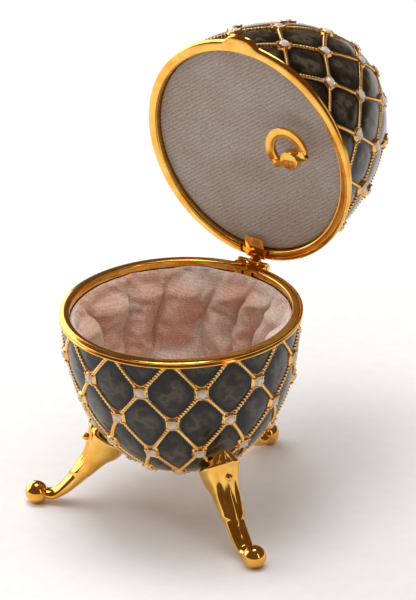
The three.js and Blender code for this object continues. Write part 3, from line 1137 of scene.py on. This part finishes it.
def puffed(obj, growth, reach):
    """Lets the cloth swell between its sewn folds, no point by more than reach."""
    start = [vertex.co.copy() for vertex in obj.data.vertices]
    moved(obj, Matrix.Scale(SIMULATED, 4))
    only(obj)
    modifier = obj.modifiers.new("cloth", "CLOTH")
    cloth = modifier.settings
    cloth.quality = 4
    cloth.mass = 0.3
    cloth.tension_stiffness = cloth.compression_stiffness = 12
    cloth.shear_stiffness = 4
    cloth.bending_stiffness = 0.3
    cloth.use_pressure = True
    cloth.uniform_pressure_force = 2.5
    cloth.shrink_min = -growth
    cloth.vertex_group_mass = "sewn"
    cloth.effector_weights.gravity = 0
    modifier.point_cache.frame_end = SIMULATED_FRAMES
    for frame_number in range(1, SIMULATED_FRAMES + 1):
        bpy.context.scene.frame_set(frame_number)
    bpy.ops.object.modifier_apply(modifier=modifier.name)
    bpy.context.scene.frame_set(1)
    moved(obj, Matrix.Scale(1 / SIMULATED, 4))
    for vertex, before in zip(obj.data.vertices, start):
        step = vertex.co - before
        if step.length > reach:
            vertex.co = before + step * (reach / step.length)
        radius, depth = math.hypot(vertex.co.x, vertex.co.y) / MM, -vertex.co.z / MM
        clear = 29.0 - 9 * smoothstep(5, 10, depth)  # the winding key turns inside this radius
        if 20 < radius < clear:
            vertex.co.xy *= clear / radius
    obj.vertex_groups.clear()
    return obj


class EggBoxVelvet(bpy.types.Operator):
    """Makes the gathered lining of the bowl and the covered panel of the lid"""

    bl_idname = "egg_box.velvet"
    bl_label = "Velvet"

    def execute(self, context):
        lining = gathered_cup(context.scene.egg_box.fold_depth / MM)
        puffed(lining, 0.12, 2.0 * MM)
        modified(lining, "SUBSURF", levels=1, render_levels=1)
        modified(lining, "SOLIDIFY", thickness=0.7 * MM, offset=-1)
        smooth(lining, 180)
        shared(moved(lining, BOWL), "base", "lining", FINISHES["lining"], "bowl_lining")
        outline = [(0, PANEL_RECESS), (30.9, PANEL_RECESS), (31.5, 1.72)]
        outline += [(31.85, 2.1), (31.85, 3.2), (0, 3.2)]
        panel = turned("velvet_panel", outline, 120)
        cut(panel, rod("key_hole", 1.9, 9, (*KEY_PLACE, PANEL_RECESS), "Z"))
        smooth(panel, 40)
        shared(moved(panel, LID), "lid", "panel", FINISHES["panel"], "lid_panel")
        return {"FINISHED"}


# ---- Stage ----


def area_light(name, place, target, size, power, colour="#FFFFFF"):
    light = bpy.data.lights.new(name, "AREA")
    light.shape = "RECTANGLE"
    light.size, light.size_y = size
    light.energy = power
    light.color = linear(colour)[:3]
    obj = bpy.data.objects.new(name, light)
    obj.location = place
    obj.rotation_euler = (Vector(target) - Vector(place)).to_track_quat("-Z", "Y").to_euler()
    bpy.context.scene.collection.objects.link(obj)
    return obj


class EggBoxStage(bpy.types.Operator):
    """Sets up the finishes, the floor, the lights and the camera"""

    bl_idname = "egg_box.stage"
    bl_label = "Stage"

    def execute(self, context):
        make_finishes(context.scene.egg_box)
        only()
        bpy.ops.mesh.primitive_circle_add(vertices=64, radius=4, fill_type="NGON")
        floor = named("floor")
        floor.data.materials.append(floor_finish())
        middle = (0, 0, 0.06)
        area_light("left_softbox", (-1.1, 0.1, 0.45), middle, (1.7, 0.9), 11)
        area_light("overhead", (-0.15, 0.1, 1.3), middle, (0.5, 0.5), 5)
        area_light("right_strip", (1.0, -0.2, 0.5), middle, (0.15, 0.8), 0.8)
        fill = area_light("ceiling", (0, 0, 1.4), middle, (1.8, 1.8), 15)
        fill.visible_glossy = False
        world = bpy.data.worlds.new("studio")
        world.use_nodes = True
        background = world.node_tree.nodes["Background"]
        background.inputs["Color"].default_value = linear("#D2AC90")
        background.inputs["Strength"].default_value = 0.2
        context.scene.world = world
        context.scene.view_settings.view_transform = "Standard"
        context.scene.view_settings.look = "None"
        azimuth, elevation = math.radians(35.69), math.radians(26.01)
        right = Vector((math.cos(azimuth), math.sin(azimuth), 0))
        back = Vector((
            math.sin(azimuth) * math.cos(elevation),
            -math.cos(azimuth) * math.cos(elevation),
            math.sin(elevation),
        ))
        up = back.cross(right)
        target = BOWL.translation + RIM * MM * (0.2245 * right + 0.0592 * up)
        roll = math.radians(1.57)
        across = math.cos(roll) * right - math.sin(roll) * up
        above = math.sin(roll) * right + math.cos(roll) * up
        camera = bpy.data.cameras.new("camera")
        camera.sensor_width = 36
        camera.lens = 293.6
        camera.clip_start = 0.01
        viewer = bpy.data.objects.new("camera", camera)
        turn = Matrix((across, above, back)).transposed().to_4x4()
        viewer.matrix_world = Matrix.Translation(target + 40 * RIM * MM * back) @ turn
        context.scene.collection.objects.link(viewer)
        context.scene.camera = viewer
        return {"FINISHED"}


class EggBoxPanel(bpy.types.Panel):
    """The egg box's operators and sizes"""

    bl_idname = "VIEW3D_PT_egg_box"
    bl_label = "Jewelled egg box"
    bl_space_type = "VIEW_3D"
    bl_region_type = "UI"
    bl_category = "Egg box"

    def draw(self, context):
        for name in EggBoxSizes.__annotations__:
            self.layout.prop(context.scene.egg_box, name)
        for operator in OPERATORS:
            self.layout.operator(operator.bl_idname)


OPERATORS = (
    EggBoxStage,
    EggBoxEnamel,
    EggBoxLattice,
    EggBoxStones,
    EggBoxCollars,
    EggBoxHinge,
    EggBoxKey,
    EggBoxLegs,
    EggBoxVelvet,
)


def register():
    for kind in (EggBoxSizes, *OPERATORS, EggBoxPanel):
        bpy.utils.register_class(kind)
    bpy.types.Scene.egg_box = bpy.props.PointerProperty(type=EggBoxSizes)


def unregister():
    del bpy.types.Scene.egg_box
    for kind in (EggBoxPanel, *OPERATORS[::-1], EggBoxSizes):
        bpy.utils.unregister_class(kind)


def main():
    register()
    for operator in OPERATORS:
        group, name = operator.bl_idname.split(".")
        getattr(getattr(bpy.ops, group), name)()


if __name__ == "__main__":
    main()
